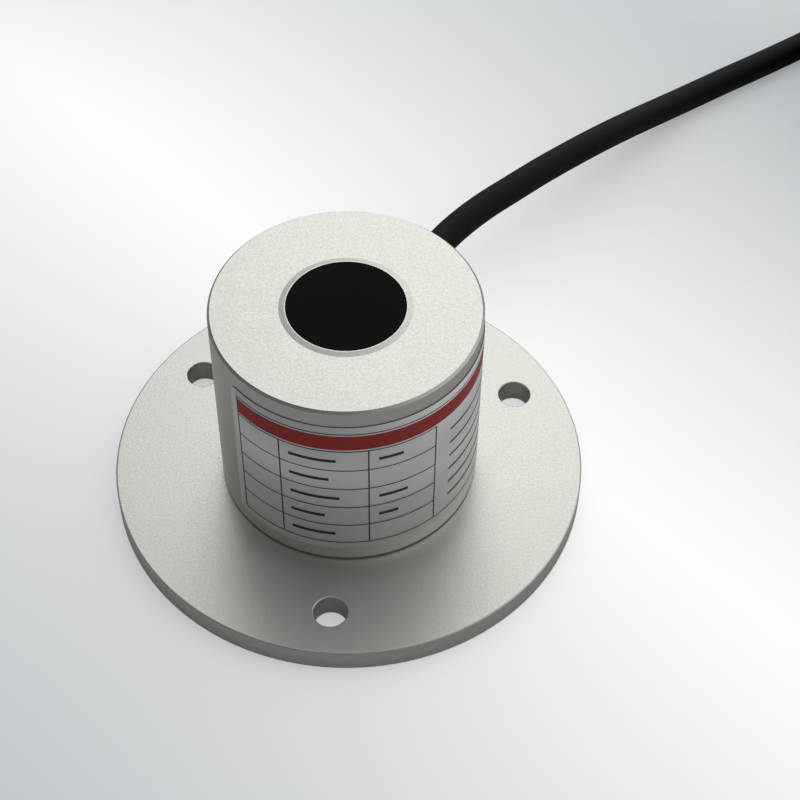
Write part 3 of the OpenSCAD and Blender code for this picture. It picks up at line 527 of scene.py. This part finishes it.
def halfHull(ordered):
    # The places that a tight line over one side of the others touches
    kept = []
    for p in ordered:
        while len(kept) > 1:
            (ax, az), (bx, bz) = kept[-2:]
            if (bx - ax) * (p[1] - az) > (bz - az) * (p[0] - ax):
                break
            kept.pop()
        kept.append(p)
    return kept[:-1]


def tightLoop(section, r, count):
    # Shortest loop round circles of radius r on the section's places
    turns = [2 * math.pi * i / count for i in range(count)]
    spots = sorted({(x + r * math.cos(a), z + r * math.sin(a)) for x, z in section for a in turns})
    return halfHull(spots) + halfHull(spots[::-1])


def outerSide(loop, height):
    # How far out the loop stands at this height
    crossings = [
        x + (u - x) * (height - z) / (v - z)
        for (x, z), (u, v) in zip(loop, loop[1:] + loop[:1]) if (z < height) != (v < height)
    ]
    return max(crossings)


def makeBandTree(steps):
    # The loop lies flat, so the band's width stands along Z
    tree, given = newTree("bandAlongLoop", {
        "Wide": "Float", "Thick": "Float", "Round": "Float", "Finish": "Material",
    })
    upright = addNode(tree, "GeometryNodeSetCurveNormal", {"Curve": given["Geometry"]}, mode="Z_UP")
    strip = addNode(tree, "GeometryNodeCurvePrimitiveQuadrilateral", {
        "Width": given["Thick"], "Height": given["Wide"],
    })
    profile = addNode(tree, "GeometryNodeFilletCurve", {
        "Curve": strip.outputs["Curve"], "Count": steps, "Radius": given["Round"],
    }, mode="POLY")
    band = addNode(tree, "GeometryNodeCurveToMesh", {
        "Curve": upright.outputs["Curve"], "Profile Curve": profile.outputs["Curve"],
    })
    return closeTree(tree, band.outputs["Mesh"], given["Finish"])


def addBlock(mesh, centre, size, r, steps):
    block = bmesh.new()
    block.from_mesh(mesh)
    corners = bmesh.ops.create_cube(block, size=1)["verts"]
    bmesh.ops.scale(block, vec=size, verts=corners)
    bmesh.ops.translate(block, vec=centre, verts=corners)
    edges = list({edge for corner in corners for edge in corner.link_edges})
    bmesh.ops.bevel(
        block, geom=edges, offset=r, segments=steps, profile=0.5, affect="EDGES", clamp_overlap=True
    )
    block.to_mesh(mesh)
    block.free()


def makeTies(t, line, c):
    tree = makeBandTree(t["roundSteps"])
    whole = bmesh.new()
    for angle in t["angles"]:
        section = coilSection(line, angle, c)
        loop = tightLoop(section, c["diameter"] / 2 + t["gap"] + t["thick"] / 2, t["arcPoints"])
        curve = polyCurve("tieLoop", [Vector((x, z, 0)) * mm for x, z in loop], closed=True)
        band = growMesh("tieBand", curve, tree, {
            "Wide": t["wide"] * mm, "Thick": t["thick"] * mm, "Round": t["round"] * mm,
            "Finish": surfaces["tieNylon"],
        })
        mesh = band.data
        mesh.transform(Matrix.Rotation(math.pi / 2, 4, "X"))
        side = outerSide(loop, t["middle"])
        thick, high = t["head"][0], t["head"][2]
        addBlock(mesh, Vector((side + thick / 2 - t["thick"] / 2, 0, t["middle"])) * mm,
                 Vector(t["head"]) * mm, t["headRound"] * mm, t["roundSteps"])
        addBlock(mesh, Vector((side + thick / 2, 0, t["middle"] + (high + t["end"][2]) / 2)) * mm,
                 Vector(t["end"]) * mm, t["endRound"] * mm, t["roundSteps"])
        mesh.transform(Matrix.Translation(Vector((*c["coil"]["centre"], 0)) * mm)
                       @ Matrix.Rotation(math.radians(angle), 4, "Z"))
        whole.from_mesh(mesh)
        bpy.data.objects.remove(band)
    mesh = bpy.data.meshes.new("coil_ties_tight")
    whole.to_mesh(mesh)
    whole.free()
    mesh.materials.append(surfaces["tieNylon"])
    obj = placeObject("coil_ties_tight", mesh)
    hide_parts("coil_ties")
    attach(obj, "root")
    return obj


# Shrunk sleeve: hugs the jacket's end and draws in on the wires. The outline's pairs are places on Y,
# from the jacket towards the wires, and radii. Nothing of it goes lower than its floor.
sleeve = {
    "axis": (119, 2.7), "sides": 40, "floor": 0.02,
    "outline": (
        (23.4, 2.74), (23.4, 2.95), (23.2, 3.05), (22.2, 3.08), (19.0, 3.08), (18.1, 3.0), (17.3, 2.7),
        (16.5, 2.35), (15.4, 2.15), (13.0, 2.08), (11.7, 2.08), (11.4, 2.0), (11.4, 1.86), (13.0, 1.84),
    ),
}


def makeSleeve(v):
    axisX, axisZ = v["axis"]
    outline, sides = v["outline"], v["sides"]
    turns = [2 * math.pi * j / sides for j in range(sides)]
    points = [
        (axisX + r * math.cos(a), y, max(axisZ + r * math.sin(a), v["floor"]))
        for y, r in outline for a in turns
    ]
    faces = [
        (i * sides + j, i * sides + (j + 1) % sides, (i + 1) * sides + (j + 1) % sides, (i + 1) * sides + j)
        for i in range(len(outline) - 1) for j in range(sides)
    ]
    mesh = bpy.data.meshes.new("tail_sleeve_shrunk")
    mesh.from_pydata([Vector(p) * mm for p in points], [], faces)
    mesh.shade_smooth()
    mesh.materials.append(surfaces["shrinkTube"])
    obj = placeObject("tail_sleeve_shrunk", mesh)
    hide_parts("tail_sleeve")
    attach(obj, "root")
    return obj


coilTies = makeTies(ties, cableLine, cable)
tailSleeve = makeSleeve(sleeve)
print("cord declared with", len(tailWires), "free wires")

# Label: a metallised film with rounded corners, bent round the housing, and its printed form.
# Places on it are lengths along the bend from its left end and heights above its lower edge.
label = {
    "radius": 21.75, "film": 0.12, "start": -139, "span": 168.1, "low": 7.6, "height": 31.0,
    "corner": 1.6, "columns": 72, "cornerColumns": 8,
}
# Shares are of the height or width inside the margins. A field is its row, column and share of fieldWide.
ink = {
    "depth": 0.02, "columns": 61, "margin": 1.6, "rule": 0.22,
    "bandShare": 0.15, "bandGap": 0.88, "tableShare": 0.56, "rows": 5, "splits": (0.24, 0.66, 1),
    "lineHeight": 0.44, "lineShares": (1, 0.8, 0.92, 0.6, 1, 0.72),
    "fieldHeight": 0.66, "fieldWide": 8, "fields": (
        (0, 0, 0.9), (1, 0, 0.7), (2, 0, 1), (3, 0, 0.8), (4, 0, 0.95), (1, 1, 0.4), (2, 1, 0.6), (4, 1, 0.5),
    ),
}


def bent(along, up, out, c):
    a = math.radians(c["start"]) + along / c["radius"]
    r = c["radius"] + out
    return (r * math.cos(a) * mm, r * math.sin(a) * mm, (c["low"] + up) * mm)


def labelLength(c):
    return math.radians(c["span"]) * c["radius"]


def labelColumns(c):
    # Each column's place along the label and how far its ends are cut back by the round corners
    r, count = c["corner"], c["cornerColumns"]
    turns = [math.pi / 2 * i / count for i in range(count + 1)]
    left = [(r * (1 - math.cos(t)), r * (1 - math.sin(t))) for t in turns]
    middle = labelLength(c) - 2 * r
    straight = [(r + middle * i / c["columns"], 0) for i in range(1, c["columns"])]
    return left + straight + [(labelLength(c) - along, cut) for along, cut in reversed(left)]


def makeLabel(c):
    columns = labelColumns(c)
    points, faces, sides = [], [], 4
    for along, cut in columns:
        for up, out in ((cut, 0), (c["height"] - cut, 0), (c["height"] - cut, c["film"]), (cut, c["film"])):
            points.append(bent(along, up, out, c))
    last = sides * (len(columns) - 1)
    for i in range(0, last, sides):
        for j in range(sides):
            k = (j + 1) % sides
            faces.append((i + j, i + k, i + sides + k, i + sides + j))
    faces += [(3, 2, 1, 0), (last, last + 1, last + 2, last + 3)]
    mesh = bpy.data.meshes.new("label_film")
    mesh.from_pydata(points, [], faces)
    mesh.materials.append(surfaces["labelFoil"])
    # The film's edges and back get the dark grey of painted shade, for the shadow line at its edge
    mesh.materials.append(surfaces["labelEdgePaintedShade"])
    for i, face in enumerate(mesh.polygons):
        front = i % sides == 2 and i < last
        face.material_index = 0 if front else 1
        face.use_smooth = front
    obj = placeObject("label_film", mesh)
    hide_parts("label")
    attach(obj, "root")


def labelMarks(c, k):
    # Middle, width and height of each mark of a blank form: a frame, a table of empty fields and a column
    # of ruled lines, and apart from them the coloured band
    m, rule = k["margin"], k["rule"]
    left, right, low, top = m, labelLength(c) - m, m, c["height"] - m
    centre, middle, wide, high = (left + right) / 2, (low + top) / 2, right - left, top - low
    border = [(centre, y, wide, rule) for y in (low, top)]
    border += [(x, middle, rule, high + rule) for x in (left, right)]
    bandLow = top - k["bandShare"] * high
    tableWide, tableHigh = k["tableShare"] * wide, bandLow - low
    rowHigh = tableHigh / k["rows"]
    table = [(left + tableWide / 2, low + rowHigh * (i + 1), tableWide, rule) for i in range(k["rows"])]
    splits = [left + share * tableWide for share in k["splits"]]
    table += [(x, low + tableHigh / 2, rule, tableHigh) for x in splits]
    blockLeft = left + tableWide + 2 * m
    blockWide, lineGap = right - m - blockLeft, tableHigh / (len(k["lineShares"]) + 1)
    block = [
        (blockLeft + share * blockWide / 2, low + lineGap * (i + 1), share * blockWide, k["lineHeight"])
        for i, share in enumerate(k["lineShares"])
    ]
    fields = [
        (splits[column] + m + share * k["fieldWide"] / 2, low + rowHigh * (row + 0.5),
         share * k["fieldWide"], k["fieldHeight"])
        for row, column, share in k["fields"]
    ]
    band = [(centre, (bandLow + top) / 2, wide, top - bandLow - k["bandGap"])]
    return border + table + block + fields, band


def makeInkTree():
    # Each point becomes a flat mark of its own width and height, wrapped round the label
    tree, given = newTree("wrappedMarks", {
        "Radius": "Float", "Start": "Float", "Low": "Float", "Depth": "Float", "Columns": "Int",
        "Finish": "Material",
    })
    sizes = [
        addNode(tree, "GeometryNodeInputNamedAttribute", {"Name": key}).outputs["Attribute"]
        for key in ("width", "height")
    ]
    scale = addNode(tree, "ShaderNodeCombineXYZ", {"X": sizes[0], "Y": sizes[1], "Z": 1.0})
    mark = addNode(tree, "GeometryNodeMeshGrid", {
        "Size X": 1.0, "Size Y": 1.0, "Vertices X": given["Columns"], "Vertices Y": 2,
    })
    placed = addNode(tree, "GeometryNodeInstanceOnPoints", {
        "Points": given["Geometry"], "Instance": mark.outputs["Mesh"], "Scale": scale.outputs["Vector"],
    })
    real = addNode(tree, "GeometryNodeRealizeInstances", {"Geometry": placed.outputs["Instances"]})
    place = addNode(tree, "ShaderNodeSeparateXYZ", {
        "Vector": addNode(tree, "GeometryNodeInputPosition").outputs["Position"],
    })
    out = addNode(tree, "ShaderNodeMath", {0: given["Radius"], 1: given["Depth"]}, operation="ADD")
    turn = addNode(tree, "ShaderNodeMath", {0: place.outputs["X"], 1: given["Radius"]}, operation="DIVIDE")
    angle = addNode(tree, "ShaderNodeMath", {0: turn.outputs["Value"], 1: given["Start"]}, operation="ADD")
    across = [
        addNode(tree, "ShaderNodeMath", {
            0: out.outputs["Value"],
            1: addNode(tree, "ShaderNodeMath", {0: angle.outputs["Value"]}, operation=way).outputs["Value"],
        }, operation="MULTIPLY").outputs["Value"]
        for way in ("COSINE", "SINE")
    ]
    up = addNode(tree, "ShaderNodeMath", {0: place.outputs["Y"], 1: given["Low"]}, operation="ADD")
    wrapped = addNode(tree, "ShaderNodeCombineXYZ", {
        "X": across[0], "Y": across[1], "Z": up.outputs["Value"],
    })
    bend = addNode(tree, "GeometryNodeSetPosition", {
        "Geometry": real.outputs["Geometry"], "Position": wrapped.outputs["Vector"],
    })
    return closeTree(tree, bend.outputs["Geometry"], given["Finish"])


def makePrint(c, k):
    tree = makeInkTree()
    lines, band = labelMarks(c, k)
    for name, marks, finish in (("label_rules", lines, "darkInk"), ("label_band", band, "redInk")):
        mesh = bpy.data.meshes.new(name + "Places")
        mesh.from_pydata([(x * mm, y * mm, 0) for x, y, _, _ in marks], [], [])
        for key, column in (("width", 2), ("height", 3)):
            values = mesh.attributes.new(key, "FLOAT", "POINT")
            for item, mark in zip(values.data, marks):
                item.value = mark[column] * mm
        obj = growMesh(name, mesh, tree, {
            "Radius": c["radius"] * mm, "Start": math.radians(c["start"]), "Low": c["low"] * mm,
            "Depth": (c["film"] + k["depth"]) * mm, "Columns": k["columns"], "Finish": surfaces[finish],
        })
        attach(obj, "root")


makeLabel(label)
makePrint(label, ink)
print("label made")

# Stage: floor, lamps and surroundings. A soft box behind, and surroundings brightest behind and to the
# right, make the metal bright, and the box is seen by reflections alone. A fill lamp from the left lights
# what isn't shiny and throws the soft shadows.
# The floor is painted with a band of light along a line across the picture's diagonal, painted dimmer and
# cooler to both sides of it, and plain further out. The line's angle is in degrees, and the distances from it
# and from the origin in millimetres, as are the floor's drop and its contact with the faces that stand on it.
# The floor's size and the lamps' places and sizes are in metres. Edges are cosines of the angle from the
# surroundings' brightest side.
stage = {
    "floorSize": 12, "drop": 0.05, "contact": 0.5, "table": "#CCCCCC",
    "gain": 2.1, "glow": 0.97, "glowShare": 0.5,
    "tones": {
        "white": "#FDFDFD", "cool": "#C0C6CA", "plain": "#E0E3E5", "angle": 50, "middle": 27, "reach": 112,
        "near": 90, "far": 240,
    },
    "softBox": {"place": (-0.01, 0.44, 0.46), "size": 0.42, "power": 0.385, "lights": "glossy"},
    "fill": {"place": (-0.4, 0.2, 1.0), "size": 1.7, "power": 1.8, "lights": "diffuse"},
    "surround": {
        "bright": "#FFFFFF", "dim": "#747576", "towards": (0.66, 0.6, 0.45), "edges": (-0.14, 0.86),
        "strength": 0.72, "backdrop": "#E2E6E8",
    },
}


# Painted light on the floor: a bright band across the diagonal, painted dimmer and cooler to both sides,
# plain further out
def paintedLightFloor(tree, t):
    angle = math.radians(t["angle"])
    place = addNode(tree, "ShaderNodeTexCoord").outputs["Object"]
    across = addNode(tree, "ShaderNodeVectorMath", {
        0: place, 1: (math.cos(angle), math.sin(angle), 0),
    }, operation="DOT_PRODUCT")
    offset = addNode(tree, "ShaderNodeMath", {
        0: across.outputs["Value"], 1: t["middle"] * mm,
    }, operation="SUBTRACT")
    away = addNode(tree, "ShaderNodeMath", {0: offset.outputs["Value"]}, operation="ABSOLUTE")
    share = addNode(tree, "ShaderNodeMapRange", {"Value": away.outputs["Value"], "From Max": t["reach"] * mm})
    # Painted light: white in the band, dimmer and cooler away from it
    tone = addNode(tree, "ShaderNodeMix", {
        "Factor": share.outputs["Result"], "A": linear(t["white"]), "B": linear(t["cool"]),
    }, data_type="RGBA")
    distance = addNode(tree, "ShaderNodeVectorMath", {0: place}, operation="LENGTH")
    outward = addNode(tree, "ShaderNodeMapRange", {
        "Value": distance.outputs["Value"], "From Min": t["near"] * mm, "From Max": t["far"] * mm,
    }, interpolation_type="SMOOTHSTEP")
    eased = addNode(tree, "ShaderNodeMix", {
        "Factor": outward.outputs["Result"], "A": tone.outputs["Result"], "B": linear(t["plain"]),
    }, data_type="RGBA")
    return eased.outputs["Result"]


def makeFloor(s):
    half = s["floorSize"] / 2
    mesh = bpy.data.meshes.new("floor")
    corners = [(-half, -half), (half, -half), (half, half), (-half, half)]
    mesh.from_pydata([(x, y, -s["drop"] * mm) for x, y in corners], [], [(0, 1, 2, 3)])
    obj = placeObject("floor", mesh)
    material = bpy.data.materials.new("paperFloor")
    material.use_nodes = True
    tree = material.node_tree
    tree.nodes.clear()
    tone = paintedLightFloor(tree, s["tones"])
    path = addNode(tree, "ShaderNodeLightPath").outputs
    toCamera = path["Is Camera Ray"]
    # The camera sees the tone lifted by the gain, and everything else is lit by a plain table
    lifted = addNode(tree, "ShaderNodeVectorMath", {0: tone, "Scale": s["gain"]}, operation="SCALE")
    seen = addNode(tree, "ShaderNodeMix", {
        "Factor": toCamera, "A": linear(s["table"]), "B": lifted.outputs["Vector"],
    }, data_type="RGBA")
    paper = addNode(tree, "ShaderNodeBsdfDiffuse", {"Color": seen.outputs["Result"]})
    # A share of its own glow, for the camera alone, keeps the shadows light
    glow = addNode(tree, "ShaderNodeEmission", {"Color": tone, "Strength": s["glow"]})
    share = addNode(tree, "ShaderNodeMath", {0: toCamera, 1: s["glowShare"]}, operation="MULTIPLY")
    lit = addNode(tree, "ShaderNodeMixShader", {
        0: share.outputs["Value"], 1: paper.outputs["BSDF"], 2: glow.outputs["Emission"],
    })
    # From beneath, and to light at faces that stand on it, the floor is clear, so that the underside shows
    close = addNode(tree, "ShaderNodeMath", {
        0: path["Ray Length"], 1: s["contact"] * mm,
    }, operation="LESS_THAN")
    clear = addNode(tree, "ShaderNodeMath", {
        0: addNode(tree, "ShaderNodeNewGeometry").outputs["Backfacing"], 1: close.outputs["Value"],
    }, operation="MAXIMUM")
    shown = addNode(tree, "ShaderNodeMixShader", {
        0: clear.outputs["Value"], 1: lit.outputs["Shader"],
        2: addNode(tree, "ShaderNodeBsdfTransparent").outputs["BSDF"],
    })
    addNode(tree, "ShaderNodeOutputMaterial", {"Surface": shown.outputs["Shader"]})
    mesh.materials.append(material)


def makeLamp(name, lamp):
    data = bpy.data.lights.new(name, "AREA")
    data.shape, data.size, data.energy = "DISK", lamp["size"], lamp["power"]
    obj = placeObject(name, data)
    obj.location = lamp["place"]
    obj.rotation_mode = "QUATERNION"
    obj.rotation_quaternion = Vector(lamp["place"]).to_track_quat("Z", "Y")
    obj.visible_glossy = lamp["lights"] == "glossy"
    obj.visible_diffuse = lamp["lights"] == "diffuse"


def makeSurroundings(s):
    world = bpy.data.worlds.new("studio")
    world.use_nodes = True
    tree = world.node_tree
    tree.nodes.clear()
    facing = addNode(tree, "ShaderNodeVectorMath", {
        0: addNode(tree, "ShaderNodeTexCoord").outputs["Generated"], 1: Vector(s["towards"]).normalized(),
    }, operation="DOT_PRODUCT")
    blend = addNode(tree, "ShaderNodeMapRange", {
        "Value": facing.outputs["Value"], "From Min": s["edges"][0], "From Max": s["edges"][1],
    })
    glow = addNode(tree, "ShaderNodeMix", {
        "Factor": blend.outputs["Result"], "A": linear(s["dim"]), "B": linear(s["bright"]),
    }, data_type="RGBA")
    lighting = addNode(tree, "ShaderNodeBackground", {
        "Color": glow.outputs["Result"], "Strength": s["strength"],
    })
    shown = addNode(tree, "ShaderNodeBackground", {"Color": linear(s["backdrop"]), "Strength": 1.0})
    either = addNode(tree, "ShaderNodeMixShader", {
        0: addNode(tree, "ShaderNodeLightPath").outputs["Is Camera Ray"],
        1: lighting.outputs["Background"], 2: shown.outputs["Background"],
    })
    addNode(tree, "ShaderNodeOutputWorld", {"Surface": either.outputs["Shader"]})
    bpy.context.scene.world = world


makeFloor(stage)
makeLamp("softBox", stage["softBox"])
makeLamp("fill", stage["fill"])
makeSurroundings(stage["surround"])
bpy.context.scene.view_settings.view_transform = "Standard"
print("stage set")
